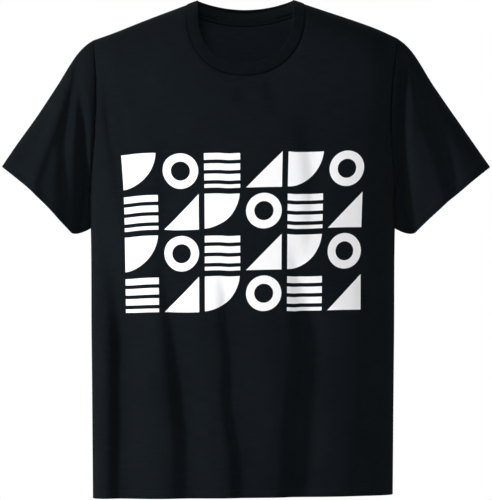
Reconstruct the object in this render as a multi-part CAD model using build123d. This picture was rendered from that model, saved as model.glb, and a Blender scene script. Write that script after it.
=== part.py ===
from build123d import *
import math
import os

# A short-sleeved, round-necked shirt of cotton jersey, in the shape it takes on a wearer.
# +Z is up and the front faces -Y. The origin lies midway between the shoulders, at the height
# where the neck band meets the shoulder seams, so that the shirt hangs from the plane Z = 0.
# The wearer's left is +X. Lengths are in millimetres, and a name that ends in share or shares
# holds plain ratios.

# Cloth
cloth_thickness = 0.8
rib_thickness = 1.8
tape_thickness = 0.5
seam_gap = 0.3

# Neck
neck_half_width = 88.0
front_neck_drop = 107.0
back_neck_drop = 21.0
neck_side_drop = 24.0
rib_width = 17.0
tape_width = 11.0

# Shoulders
shoulder_half_width = 228.0
shoulder_drop = 52.0
shoulder_rounding = 44.0

# Body, measured on the wearer
body_length = 738.0
chest_half_width = 229.0
chest_front = 108.0
chest_back = 100.0
side_radius = 78.0
body_hem = 22.0

# Horizontal sections of the body, from above the shoulders to the hem. The shoulder sections take
# their width from the shoulders and the lower ones from the chest. The shares are of the body
# length, that half width, chest front, chest back and side radius.
shoulder_shares = [
    (-0.027, 1.004, 0.48, 0.62, 0.56),
    (0.081, 1.004, 0.74, 0.84, 0.87),
]
chest_shares = [
    (0.203, 1.0, 0.91, 0.98, 1.0),
    (0.379, 1.0, 1.0, 1.0, 1.0),
    (0.678, 0.987, 0.96, 0.92, 0.95),
    (1.0, 0.978, 0.935, 0.98, 0.95),
]

# Folds, which begin below the chest and are deepest and widest at the hem
fold_start = 300.0
fold_depth = 10.0
fold_start_radius = 18.0
fold_radius = 48.0

# Where each fold lies at its start and at the hem, as shares of the half width there
front_fold_shares = [(-0.87, -0.84), (-0.48, -0.37), (0.45, 0.30)]
back_fold_shares = [(-0.44, -0.54), (0.01, -0.06), (0.45, 0.50)]

# Sleeves, from the tip of the shoulder and from the armpit out to the hem
overarm_run = 138.0
overarm_drop = 190.0
armpit_drop = 268.0
underarm_run = 19.0
underarm_drop = 73.0
sleeve_half_depth = 60.0
sleeve_radius = 44.0
sleeve_hem = 20.0

# Sections of a sleeve from inside the armhole to the hem, as shares of the overarm run and drop,
# the underarm run and drop, the half depth and the radius.
sleeve_shares = [
    (-0.23, -0.04, -1.6, 0.0, 0.87, 0.86),
    (0.09, 0.04, 0.15, 0.25, 1.0, 1.0),
    (0.4, 0.37, 0.5, 0.5, 0.97, 1.0),
    (0.7, 0.685, 0.75, 0.75, 0.93, 0.95),
    (1.0, 1.0, 1.0, 1.0, 0.9, 0.9),
]

# How far cutters reach past what they cut
overrun = 60.0
body_depth = chest_front + chest_back + overrun
body_width = 2 * (max(chest_half_width, shoulder_half_width) + overrun)
shoulder_slope = shoulder_drop / (shoulder_half_width - neck_half_width)


# One oval section
def side_arc(half_width, depth, radius):
    """Middle of a quarter's small side arc, and the point where the broad arc takes over."""
    flat = half_width - radius
    broad_radius = (flat**2 + depth**2 - radius**2) / (2 * (depth - radius))
    share = radius / (broad_radius - radius)
    meet_x = flat * (1 + share)
    meet_y = (broad_radius - depth) * share
    half_turn = math.atan2(meet_y, meet_x - flat) / 2
    middle = (flat + radius * math.cos(half_turn), radius * math.sin(half_turn))
    return middle, (meet_x, meet_y)


def oval(half_width, front, back, radius):
    """A closed oval of six arcs that run into one another without a corner."""
    (front_x, front_y), (front_end_x, front_end_y) = side_arc(half_width, front, radius)
    (back_x, back_y), (back_end_x, back_end_y) = side_arc(half_width, back, radius)
    arcs = [
        ((half_width, 0), (front_x, -front_y), (front_end_x, -front_end_y)),
        ((front_end_x, -front_end_y), (0, -front), (-front_end_x, -front_end_y)),
        ((-front_end_x, -front_end_y), (-front_x, -front_y), (-half_width, 0)),
        ((-half_width, 0), (-back_x, back_y), (-back_end_x, back_end_y)),
        ((-back_end_x, back_end_y), (0, back), (back_end_x, back_end_y)),
        ((back_end_x, back_end_y), (back_x, back_y), (half_width, 0)),
    ]
    return Wire([Edge.make_three_point_arc(*arc) for arc in arcs])


# The neck hole, as a cutter that every seam around it shares
def neck_side_cutter(half_width, side_z, bottom_z, reach):
    top_z = neck_half_width
    sides = Polyline((-half_width, side_z), (-half_width, top_z), (half_width, top_z), (half_width, side_z))
    curve = ThreePointArc((half_width, side_z), (0, bottom_z), (-half_width, side_z))
    return extrude(Plane.XZ * make_face(sides + curve), reach)


def neck_cutter(inset):
    """Deep in front and shallow behind. A positive inset lies inside the seam, towards the throat."""
    half_width = neck_half_width - inset
    side_z = inset * shoulder_slope
    front = neck_side_cutter(half_width, side_z - neck_side_drop, inset - front_neck_drop, body_depth)
    back = neck_side_cutter(half_width, side_z, inset - back_neck_drop, -body_depth)
    return front + back


# The body, filled
def under_shoulders(inset):
    """All that lies below the two shoulder slopes."""
    half_width = body_width / 2
    lowering = inset * math.hypot(1, shoulder_slope)
    ridge_z = neck_half_width * shoulder_slope - lowering
    eaves_z = ridge_z - half_width * shoulder_slope
    floor_z = -body_length - overrun
    left, right = (-half_width, eaves_z), (half_width, eaves_z)
    outline = [(-half_width, floor_z), left, (0, ridge_z), right, (half_width, floor_z)]
    return extrude(Plane.XZ * Polygon(*outline, align=None), body_depth, both=True)


def is_shoulder(face):
    """A flat face that slopes down sideways."""
    upright_share = 0.5
    normal = face.normal_at()
    return face.geom_type == GeomType.PLANE and upright_share < normal.Z < 1 and normal.X != 0


def filled_body(inset):
    """The space inside the shirt's body, inset from its outer face, with an open neck."""
    rows = [(shoulder_half_width, row) for row in shoulder_shares]
    rows += [(chest_half_width, row) for row in chest_shares]
    sections = []
    for half_width, (height, width, front, back, radius) in rows:
        section = oval(width * half_width - inset, front * chest_front - inset, back * chest_back - inset,
                       radius * side_radius - inset)
        sections.append(Pos(0, 0, -height * body_length) * section)
    body = Solid.make_loft(sections) & under_shoulders(inset)
    body -= neck_cutter(rib_width)
    edges = [edge for face in body.faces() if is_shoulder(face) for edge in face.edges()]
    outer_edges = [edge for edge in edges if abs(edge.center().X) > neck_half_width]
    return fillet(outer_edges, shoulder_rounding - inset)


# Folds of the body
def on_section(x_share, direction, half_width, depth, radius):
    """A point of a section's front (direction -1) or back, and the way that the cloth faces there."""
    x = x_share * half_width
    flat = half_width - radius
    broad_radius = (flat**2 + depth**2 - radius**2) / (2 * (depth - radius))
    end_x = side_arc(half_width, depth, radius)[1][0]
    if abs(x) < end_x:
        centre, reach = (0, depth - broad_radius), broad_radius
    else:
        centre, reach = (math.copysign(flat, x), 0), radius
    across = x - centre[0]
    out = math.sqrt(reach**2 - across**2)
    return Vector(x, direction * (centre[1] + out)), Vector(across, direction * out) / reach


def fold_cutter(start_share, hem_share, direction, inset):
    """A slender cone that stands off the cloth at the fold's start and sinks into it at the hem."""
    start_row, hem_row = chest_shares[1], chest_shares[-1]
    circles = []
    for share, row, height, radius, depth in [
        (start_share, start_row, fold_start, fold_start_radius, -seam_gap),
        (hem_share, hem_row, body_length, fold_radius, fold_depth),
    ]:
        half_width, side = row[1] * chest_half_width, row[4] * side_radius
        chest_depth = row[2] * chest_front if direction < 0 else row[3] * chest_back
        place, facing = on_section(share, direction, half_width, chest_depth, side)
        centre = place + facing * (radius - depth)
        circles.append(Pos(centre.X, centre.Y, -height) * Wire.make_circle(radius + inset))
    return Solid.make_loft(circles, ruled=True)


def hung_body(inset):
    """The filled body with its folds."""
    body = filled_body(inset)
    for direction, shares in ((-1, front_fold_shares), (1, back_fold_shares)):
        for start_share, hem_share in shares:
            body -= fold_cutter(start_share, hem_share, direction, inset)
    return body


# The sleeve on the wearer's left, filled
def sleeve_plane(row):
    """The plane of one section, with its x axis along the section, and the section's half length."""
    over_x, over_z, under_x, under_z = row[:4]
    top = Vector(shoulder_half_width + over_x * overarm_run, 0, -shoulder_drop - over_z * overarm_drop)
    bottom = Vector(chest_half_width + under_x * underarm_run, 0, -armpit_drop - under_z * underarm_drop)
    along = top - bottom
    normal = Vector(0, 1, 0).cross(along)
    return Plane(origin=(top + bottom) / 2, x_dir=along, z_dir=normal), along.length / 2


def filled_sleeve(inset):
    sections = []
    for row in sleeve_shares:
        plane, half_length = sleeve_plane(row)
        depth = row[4] * sleeve_half_depth - inset
        radius = row[5] * sleeve_radius - inset
        sections.append(plane.location * oval(half_length - inset, depth, depth, radius))
    return Solid.make_loft(sections)


def sleeve_hem_zone():
    """The last stretch of the sleeve, up to the hem's stitching."""
    plane, half_length = sleeve_plane(sleeve_shares[-1])
    return plane.location * Box(2 * half_length + overrun, body_depth, 2 * sleeve_hem)


# Which pieces the outer and inner faces belong to
outer_body = hung_body(0)
body_room = hung_body(cloth_thickness)
outer_sleeve = filled_sleeve(0)
armholes = filled_sleeve(-seam_gap)
armholes += mirror(armholes, Plane.YZ)


# Front and back, with the hem turned up inside
def panel_side(direction):
    """Everything in front of the side seams (direction -1) or behind them (direction 1)."""
    side = Box(body_width, body_depth, 2 * (body_length + overrun))
    return Pos(0, direction * (body_depth + seam_gap) / 2, 0) * side


def body_tube():
    hem_room = hung_body(2 * cloth_thickness)
    hem_top = body_length - body_hem
    above_hem = Pos(0, 0, hem_top) * Box(body_width, 2 * body_depth, 4 * hem_top)
    return outer_body - (body_room & above_hem) - hem_room


tube = body_tube() - armholes - neck_cutter(-seam_gap)
front_panel = tube & panel_side(-1)
back_panel = tube & panel_side(1)


# Sleeves, which run through the armhole to the body's inner face
def sleeve():
    cloth = outer_sleeve - filled_sleeve(cloth_thickness)
    turn_up = (outer_sleeve - filled_sleeve(2 * cloth_thickness)) & sleeve_hem_zone()
    return cloth + turn_up - body_room


sleeve_left = sleeve()
sleeve_right = mirror(sleeve_left, Plane.YZ)

# Rib band round the neck, and the tape over its seam at the back
neck_rib = (outer_body - filled_body(rib_thickness)) & neck_cutter(0)
tape_face = cloth_thickness + seam_gap
tape_ring = neck_cutter(-tape_width - seam_gap) - neck_cutter(-seam_gap)
neck_tape = (filled_body(tape_face) - filled_body(tape_face + tape_thickness)) & tape_ring & panel_side(1)

os.makedirs("parts", exist_ok=True)
export_step(front_panel, "parts/front_panel.step")
export_step(back_panel, "parts/back_panel.step")
export_step(sleeve_left, "parts/sleeve_left.step")
export_step(sleeve_right, "parts/sleeve_right.step")
export_step(neck_rib, "parts/neck_rib.step")
export_step(neck_tape, "parts/neck_tape.step")
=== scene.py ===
# %% [markdown]
# # A short-sleeved shirt of cotton jersey
#
# The frame is the measured model of the shirt: two body panels, two sleeves, a neck band and a
# tape, each a plain solid. It settles every size and place. Here each of them is laid out again as
# cloth, with its drape, its knit and its stitches. Blender works in metres and the shirt's own
# axes: X is across, the front faces -Y, and Z = 0 is where the neck band meets the shoulders.

# %% Loading the frame
import math

import bmesh
import bpy
import numpy as np
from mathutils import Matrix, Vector


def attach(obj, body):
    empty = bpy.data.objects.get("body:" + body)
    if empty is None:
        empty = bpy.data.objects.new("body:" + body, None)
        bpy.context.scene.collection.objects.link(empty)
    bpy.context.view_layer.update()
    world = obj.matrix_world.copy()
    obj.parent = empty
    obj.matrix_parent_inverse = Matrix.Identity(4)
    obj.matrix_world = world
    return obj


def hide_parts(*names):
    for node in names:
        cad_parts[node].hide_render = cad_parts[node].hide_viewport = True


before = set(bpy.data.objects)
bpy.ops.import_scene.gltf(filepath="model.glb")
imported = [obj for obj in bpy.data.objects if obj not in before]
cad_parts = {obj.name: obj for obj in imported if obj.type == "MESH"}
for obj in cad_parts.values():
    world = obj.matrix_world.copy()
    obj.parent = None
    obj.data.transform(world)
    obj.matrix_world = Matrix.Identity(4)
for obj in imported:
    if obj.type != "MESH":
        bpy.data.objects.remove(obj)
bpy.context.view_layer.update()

MILLIMETRE = 0.001
FRONT, BACK = -1, 1

print("the frame holds", sorted(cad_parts))

# %% [markdown]
# ## A curve through a few values
#
# A garment is described by a handful of measurements at a handful of heights, and the cloth runs
# smoothly between them. Straight lines between the measurements would leave a crease at each one,
# so a helper draws a smooth line, and a second one lets a change come in gently.

# %% Smooth values between knots
def flow(at, knots, values):
    """Smooth values at a place between knots, level with the first and last beyond them."""
    knots, values = np.asarray(knots, float), np.asarray(values, float)
    at = np.clip(at, knots[0], knots[-1])
    slopes = np.gradient(values, knots, axis=0)
    k = np.clip(np.searchsorted(knots, at, side="right") - 1, 0, len(knots) - 2)
    gap = knots[k + 1] - knots[k]
    t = (at - knots[k]) / gap
    extra = (1,) * (values.ndim - 1)
    t, gap = t.reshape(t.shape + extra), gap.reshape(gap.shape + extra)
    start, end = values[k], values[k + 1]
    bend = t * (1 - t) * ((1 - t) * slopes[k] - t * slopes[k + 1]) * gap
    return start + (end - start) * t * t * (3 - 2 * t) + bend


def fade(at, start, end):
    """0 before start, 1 after end, and smooth between them."""
    t = np.clip((at - start) / (end - start), 0, 1)
    return t * t * (3 - 2 * t)


print("half way, a fade stands at", float(fade(0.5, 0, 1)))

# %% [markdown]
# ## Lengths and directions
#
# A tape measure and a pointer are wanted at every step. Points come in rows, so one helper measures
# along the rows, one makes directions one unit long, and one spaces a line's points evenly, because
# evenly spaced points make evenly sized loops of knit.

# %% Measuring along points
def distance_along(points):
    """How far each point lies from the first row, along the points before it."""
    steps = np.linalg.norm(np.diff(points, axis=0), axis=-1)
    return np.concatenate([np.zeros((1, *steps.shape[1:])), np.cumsum(steps, axis=0)])


def unit(vectors):
    """The same directions, each one unit long."""
    return vectors / np.maximum(np.linalg.norm(vectors, axis=-1, keepdims=True), 1e-12)


def even(points, count):
    """The same line with its points evenly spaced."""
    length = distance_along(points)
    at = np.linspace(0, length[-1], count)
    return np.stack([np.interp(at, length, points[:, k]) for k in range(3)], -1)


# %% [markdown]
# ## The body's sections
#
# Seen from above, a filled shirt is an oval: a broad, nearly flat arc over the chest, another over
# the back, and a tight round arc at each side. It could be sculpted by hand, but five numbers at
# each height are enough: how far down it is, half the width, the depth to the front and to the
# back, and the radius of the sides.

# %% Measurements of the body
BODY = np.array([
    # down, half width, front, back, side radius
    [-0.020, 0.230, 0.053, 0.062, 0.044],
    [0.060, 0.237, 0.080, 0.084, 0.068],
    [0.150, 0.239, 0.098, 0.098, 0.078],
    [0.286, 0.229, 0.107, 0.100, 0.078],
    [0.500, 0.226, 0.103, 0.092, 0.074],
    [0.738, 0.224, 0.100, 0.097, 0.074],
])
HEM_DOWN = 0.738


def arcs(half_width, depth, radius):
    """Where the side arc is centred, the radius of the broad arc, and the angle where they meet."""
    centre = half_width - radius
    broad = (centre**2 + depth**2 - radius**2) / (2 * (depth - radius))
    share = radius / (broad - radius)
    return centre, broad, np.arctan2((broad - depth) * share, centre * share)


def section(down, side):
    """Half width, depth and side radius at a height, for the front or the back."""
    rows = flow(down, BODY[:, 0], BODY[:, 1:])
    return rows[..., 0], rows[..., 1 if side == FRONT else 2], rows[..., 3]


def along_oval(share, half_width, depth, radius):
    """The point at a share of the way round from the middle of a half oval to its end."""
    centre, broad, meet = arcs(half_width, depth, radius)
    flat_part = broad * (math.pi / 2 - meet)
    distance = share * (flat_part + radius * meet)
    turn = np.minimum(distance, flat_part) / broad
    rest = meet - np.maximum(distance - flat_part, 0) / radius
    on_side = distance > flat_part
    x = np.where(on_side, centre + radius * np.cos(rest), broad * np.sin(turn))
    y = np.where(on_side, radius * np.sin(rest), depth - broad + broad * np.cos(turn))
    return x, y


print("the body is", 2 * BODY[3, 1], "m wide at the armpits and", HEM_DOWN, "m long")

# %% [markdown]
# ## Over the shoulders
#
# Above the chest the front and the back lean towards each other and meet on the shoulder seam,
# which slopes down from the neck to the tip of the shoulder. The last stretch is rounded like a
# shoulder. Working this out as a depth at each point of the front view, and not as one more
# section, keeps the seam where it is cut however round the shoulder gets.

# %% Depth of the body at any point of its front or back view
NECK_HALF_WIDTH = 0.088
SHOULDER_DROP, SHOULDER_RUN = 0.052, 0.140
SHOULDER_SLOPE = SHOULDER_DROP / SHOULDER_RUN
SHOULDER_HEIGHT = 0.060
SHOULDER_POWER = 2.6


def ridge_down(x):
    """How far down the shoulder seam lies at that x."""
    return (np.abs(x) - NECK_HALF_WIDTH) * SHOULDER_SLOPE


def body_depth(x, down, side):
    """How far the cloth lies in front of the side seams, or behind them."""
    half_width, depth, radius = section(down, side)
    centre, broad, meet = arcs(half_width, depth, radius)
    x = np.abs(x)
    flat_part = depth - broad + np.sqrt(np.maximum(broad**2 - x**2, 0))
    side_part = np.sqrt(np.maximum(radius**2 - (x - centre) ** 2, 0))
    y = np.where(x > centre + radius * np.cos(meet), side_part, flat_part)
    up = np.clip((ridge_down(x) + SHOULDER_HEIGHT - down) / SHOULDER_HEIGHT, 0, 1)
    return y * (1 - up**SHOULDER_POWER) ** (1 / SHOULDER_POWER)


print("the shoulder seam drops", SHOULDER_DROP, "m in", SHOULDER_RUN, "m")

# %% [markdown]
# ## The armhole seams
#
# Each armhole runs down from the tip of the shoulder, a little inwards, and out again to the
# armpit. It is one smooth line in the front view, and the same line cuts the front and the back, so
# that a sleeve fits both.

# %% Armholes in the front view
ARMHOLE = np.array([
    # down, x
    [0.045, 0.2290], [0.080, 0.2250], [0.115, 0.2215], [0.150, 0.2200], [0.190, 0.2205],
    [0.230, 0.2235], [0.260, 0.2262], [0.286, 0.2290], [0.320, 0.2400],
])
ARMPIT_DOWN = 0.286
SHOULDER_TIP = 0.2285


def armhole_x(down):
    """How far from the middle the armhole seam lies at a height."""
    return flow(down, ARMHOLE[:, 0], ARMHOLE[:, 1])


print("armhole", round(ARMPIT_DOWN - float(ridge_down(SHOULDER_TIP)), 3), "m from tip to armpit")

# %% [markdown]
# ## The neck seam
#
# Seen from the front, the neck seam is a deep U with a shallow curve behind it. The U is a rounded
# box rather than a circle, as a neck hole is cut, and its sides run straight up to the shoulders.
# The fold of the band is a second, smaller line of the same kind.

# %% Lines round the neck
NECK_SEAM = (0.0885, 0.1070, 0.0150, 2.2, 0.0205)
BAND_FOLD = (0.0710, 0.0885, 0.0120, 2.3, 0.0055)
FINE_STEPS, EDGE_STEPS = 2001, 300


def neck_room(x, down, side):
    """0 on the neck seam, below 0 inside it, and above 0 outside."""
    half_width, bottom, top, power, back_drop = NECK_SEAM
    share = np.abs(x) / half_width
    if side == FRONT:
        return share**power + (np.maximum(down - top, 0) / (bottom - top)) ** power - 1
    start = ridge_down(half_width)
    return (down - start) / (back_drop - start) - 1 + share**2


def neck_half(line, side, count):
    """Points on the body along half of a line round the neck, from right shoulder to left."""
    half_width, bottom, top, power, back_drop = line
    turn = np.linspace(-math.pi / 2, math.pi / 2, FINE_STEPS)
    start = float(ridge_down(half_width))
    if side == FRONT:
        x = half_width * np.sign(turn) * np.abs(np.sin(turn)) ** (2 / power)
        down = top + (bottom - top) * np.abs(np.cos(turn)) ** (2 / power)
        rise = np.linspace(start, top, EDGE_STEPS)[:-1]
        edge = np.full(len(rise), half_width)
        x = np.concatenate([-edge, x, edge])
        down = np.concatenate([rise, down, rise[::-1]])
    else:
        x = half_width * np.sin(turn)
        down = start + (back_drop - start) * np.cos(turn) ** 2
    points = np.stack([x, side * body_depth(x, down, side), -down], -1)
    return even(points, count)


for place, side in (("in front", FRONT), ("behind", BACK)):
    length = distance_along(neck_half(NECK_SEAM, side, 200))[-1]
    print("the neck seam is", round(float(length), 3), "m long", place)

# %% [markdown]
# ## Folds
#
# Jersey hangs in long soft folds, most of them steep on one side and gentle on the other. A cloth
# simulation would put them anywhere, so each one is noted down from top to bottom: where its
# deepest line runs, how wide its two sides are and how deep it sinks. The places are in the pixels
# of a front view, at 1.5 mm a pixel, because that is how folds are read off.
# Widths and depths are in millimetres, and a depth below zero is a ridge. Every fold sinks straight
# back, so that it never widens or narrows the shirt.

# %% Reading folds
PIXEL = 0.0015
MIDDLE_PIXEL = 245.5
TOP_PIXEL = 5.0


def fold_depth(x, z, folds):
    """How far all the folds together sink the cloth at a point of the front view, in metres."""
    across, down = x / PIXEL + MIDDLE_PIXEL, TOP_PIXEL - z / PIXEL
    total = np.zeros_like(x)
    for fold in folds:
        rows = np.array(fold, float)
        place = flow(down, rows[:, 1], rows[:, [0, 2, 3, 4]])
        inside = (down >= rows[0, 1]) & ((down <= rows[-1, 1]) | (rows[-1, 4] != 0))
        away = (across - place[..., 0]) * PIXEL / MILLIMETRE
        width = np.where(away < 0, place[..., 1], place[..., 2])
        total += np.where(inside, place[..., 3] * np.exp(-(away / width) ** 2), 0)
    return total * MILLIMETRE


# %% [markdown]
# ## The folds of the front
#
# Below the chest the cloth hangs free of the body, in three main folds and a few lesser ones. Above
# it lie the faint pulls that run down from the neck and the shoulders. All of them are written in
# the same five columns, which the folds of the other pieces follow.

# %% Folds of the front panel
FRONT_FOLDS = [
    # x, y, left width, right width, depth
    # below the chest, from the wearer's right to the left
    [(104, 200, 12, 20, 0), (113, 250, 15, 24, 8), (120, 290, 17, 28, 19), (125, 333, 18, 30, 28),
     (125, 388, 19, 32, 31), (125, 432, 19, 32, 32), (125, 500, 19, 30, 30)],
    [(165, 240, 11, 20, 0), (171, 290, 12, 24, 8), (176, 322, 13, 28, 13), (179, 344, 14, 30, 15),
     (181, 366, 14, 32, 17), (185, 399, 15, 34, 19), (190, 440, 17, 34, 19), (192, 500, 21, 32, 18)],
    [(224, 262, 9, 22, 0), (229, 300, 10, 30, 5), (231, 330, 11, 36, 8), (234, 366, 11, 40, 10),
     (234, 399, 12, 42, 11), (237, 421, 12, 42, 12), (242, 454, 12, 42, 12), (245, 500, 14, 40, 12)],
    [(296, 240, 11, 22, 0), (302, 295, 12, 30, 9), (305, 322, 13, 34, 14), (307, 344, 13, 36, 17),
     (305, 366, 13, 38, 18), (303, 388, 14, 40, 19), (300, 421, 14, 40, 20), (298, 454, 14, 40, 21),
     (297, 500, 15, 38, 20)],
    [(364, 262, 14, 24, 0), (369, 310, 12, 28, 4), (371, 360, 12, 30, 6), (369, 420, 13, 30, 7),
     (366, 500, 16, 30, 7)],
    # down from the wearer's right shoulder
    [(98, 58, 6, 9, 0), (102, 72, 7, 12, 5), (107, 95, 8, 14, 8), (113, 125, 9, 16, 9),
     (119, 155, 10, 16, 8.5), (125, 192, 11, 16, 7), (131, 222, 11, 16, 4), (135, 250, 11, 16, 0)],
    [(114, 80, 7, 10, 0), (120, 100, 7, 12, 3.5), (124, 117, 8, 12, 4), (129, 140, 9, 14, 3.2),
     (136, 170, 9, 14, 2), (142, 200, 10, 14, 0)],
    # below the neck, and across the chest
    [(243, 78, 12, 12, 0), (246, 92, 14, 14, 1.8), (251, 118, 16, 16, 0)],
    [(270, 76, 8, 12, 0), (272, 90, 8, 14, 2.0), (271, 108, 10, 14, 0)],
    [(300, 110, 12, 16, 0), (308, 135, 12, 22, 3), (313, 165, 12, 26, 4), (315, 210, 12, 26, 4),
     (311, 262, 12, 18, 0)],
    [(165, 130, 10, 14, 0), (168, 170, 10, 20, 3), (168, 230, 10, 20, 3), (166, 262, 10, 16, 0)],
]
print(len(FRONT_FOLDS), "folds and pulls in front")

# %% [markdown]
# ## The folds of the back and the sleeves
#
# The back hangs from the shoulder blades in more even folds, with low ridges between them. Each
# sleeve creases where it turns from the shoulder to the arm: one deep crease close to the body, and
# others that fan out towards the hem.

# %% Folds of the back panel and of both sleeves
BACK_FOLDS = [
    [(112, 240, 12, 12, 0), (110, 330, 15, 15, 5), (108, 420, 17, 17, 9), (106, 500, 18, 18, 9)],
    [(178, 210, 12, 12, 0), (175, 300, 14, 14, 4), (170, 400, 16, 16, 9), (165, 500, 17, 17, 10)],
    [(246, 120, 14, 14, 0), (247, 200, 15, 15, 1.5), (244, 300, 16, 16, 4), (240, 400, 16, 16, 8),
     (236, 500, 18, 18, 9)],
    [(314, 200, 12, 12, 0), (316, 300, 14, 14, 4), (319, 400, 15, 15, 9), (322, 500, 17, 17, 9)],
    [(379, 240, 12, 12, 0), (380, 330, 14, 14, 4), (381, 420, 16, 16, 8), (382, 500, 18, 18, 8)],
    # from the shoulders
    [(120, 70, 9, 9, 0), (134, 110, 11, 11, 2), (150, 160, 12, 12, 2.2), (164, 215, 13, 13, 0)],
    [(370, 70, 9, 9, 0), (358, 110, 11, 11, 2), (343, 160, 12, 12, 2), (330, 215, 13, 13, 0)],
    # ridges
    [(142, 320, 26, 26, 0), (139, 400, 28, 28, -2), (136, 500, 30, 30, -3)],
    [(210, 320, 26, 26, 0), (206, 400, 28, 28, -2), (202, 500, 30, 30, -3)],
    [(280, 320, 26, 26, 0), (281, 400, 28, 28, -2), (280, 500, 30, 30, -3)],
    [(349, 320, 26, 26, 0), (350, 400, 28, 28, -2), (352, 500, 30, 30, -3)],
]

RIGHT_SLEEVE_FOLDS = [
    [(79, 54, 4, 8, 0), (77.5, 63, 5, 10, 5), (75, 88, 6, 12, 8), (71, 110, 7, 14, 9),
     (68, 132, 9, 15, 10), (68, 165, 11, 15, 11), (69, 195, 12, 15, 10), (71, 245, 12, 14, 8)],
    [(82, 84, 4, 6, 0), (84, 100, 6, 7, 7), (86.5, 125, 9, 7, 15), (87, 165, 11, 7, 20),
     (88, 200, 12, 7, 20), (88, 245, 12, 7, 17)],
    [(66, 82, 9, 7, 0), (64, 95, 10, 8, -4), (58, 118, 11, 9, -7), (50, 140, 13, 10, -9),
     (42, 160, 14, 10, -9), (34, 182, 15, 10, -8)],
]
LEFT_SLEEVE_FOLDS = [
    [(410, 50, 5, 9, 0), (413, 63, 6, 11, 6), (420, 88, 7, 13, 10), (427, 113, 8, 15, 12),
     (436, 138, 9, 16, 13), (444, 162, 9, 17, 13), (451, 192, 10, 17, 11), (453, 215, 10, 16, 9)],
    [(402, 46, 5, 6, 0), (404, 62, 6, 7, 8), (403, 90, 8, 8, 14), (402.5, 118, 9, 9, 18),
     (403, 148, 10, 10, 20), (405, 178, 11, 10, 20), (406, 245, 11, 10, 18)],
]
print(len(BACK_FOLDS), "folds and ridges behind,",
      len(RIGHT_SLEEVE_FOLDS) + len(LEFT_SLEEVE_FOLDS), "on the sleeves")

# %% [markdown]
# ## How the shirt hangs
#
# No shirt hangs quite level or quite smooth. This one drifts a little to the wearer's right, one
# shoulder rides up, and its hem rises towards the left. The whole shape could be turned, but each
# part moves by itself, so small shifts fade in and out over ranges of x and of the way down. Slow
# waves of less than a millimetre take the last stiffness from the cloth.

# %% Small shifts and slow waves
BODY_TO_SLEEVE = (0.24, 0.33)
YOKE = (0.04, 0.20)
SHOULDERS = (0.06, 0.20)
SKIRT = (0.45, 0.738)
BODY_DRIFT, BODY_SPREAD, SLEEVE_DRIFT = -0.004, 0.004, 0.0012
LEFT_TIP, LEFT_RISE, LEFT_OUTER, LEFT_INNER = 0.19, 0.0045, 0.04, 0.09
RIGHT_TIP, RIGHT_RISE, RIGHT_WIDTH = -0.20, -0.0015, 0.04
HEM_RISE, HEM_TILT = 0.0020, 0.003 / 0.23
SLOW_WAVES = [
    # radians a metre across and up, start
    (23, 9, 0.3), (-17, 21, 1.9), (41, -14, 4.0), (31, 37, 2.4), (-52, 26, 5.1), (71, 11, 0.9),
]
WAVE_DEPTH = 0.0011


def settle(points):
    """The shirt as it hangs in the end: not quite level, and a little to its right."""
    x, down = points[..., 0], -points[..., 2]
    body = 1 - fade(np.abs(x), *BODY_TO_SLEEVE)
    side = (BODY_SPREAD * x + BODY_DRIFT) * fade(down, *YOKE) * body + SLEEVE_DRIFT * (1 - body)
    left_width = np.where(x > LEFT_TIP, LEFT_OUTER, LEFT_INNER)
    left = LEFT_RISE * np.exp(-((x - LEFT_TIP) / left_width) ** 2)
    right = RIGHT_RISE * np.exp(-((x - RIGHT_TIP) / RIGHT_WIDTH) ** 2)
    shoulder = np.where(x > 0, left, right) * (1 - fade(down, *SHOULDERS))
    lift = shoulder + (HEM_RISE + HEM_TILT * x) * fade(down, *SKIRT)
    return points + np.stack([side, 0 * side, lift], -1)


def unevenness(x, z, seed):
    """Slow waves of a fraction of a millimetre, as no cloth hangs quite smooth."""
    total = np.zeros_like(x)
    for n, (across, up, start) in enumerate(SLOW_WAVES):
        total += np.sin(across * x + up * z + start + seed * (n + 1)) / (n + 2)
    return total * WAVE_DEPTH


print("the left shoulder rides up by", LEFT_RISE / MILLIMETRE, "mm")

# %% [markdown]
# ## Laying a sheet
#
# Cloth starts as a flat grid. A grid is added with an operator, and every point of it is then moved
# to its place on the body. Three things are kept with each point: its place in the cut cloth, as a
# UV map in metres, so that the knit and the print follow the cloth; its place before the folds,
# because the seams are cut there; and how far it lies from the nearest seam.

# %% A grid of cloth
MERGE_DISTANCE = 0.00001


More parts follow.
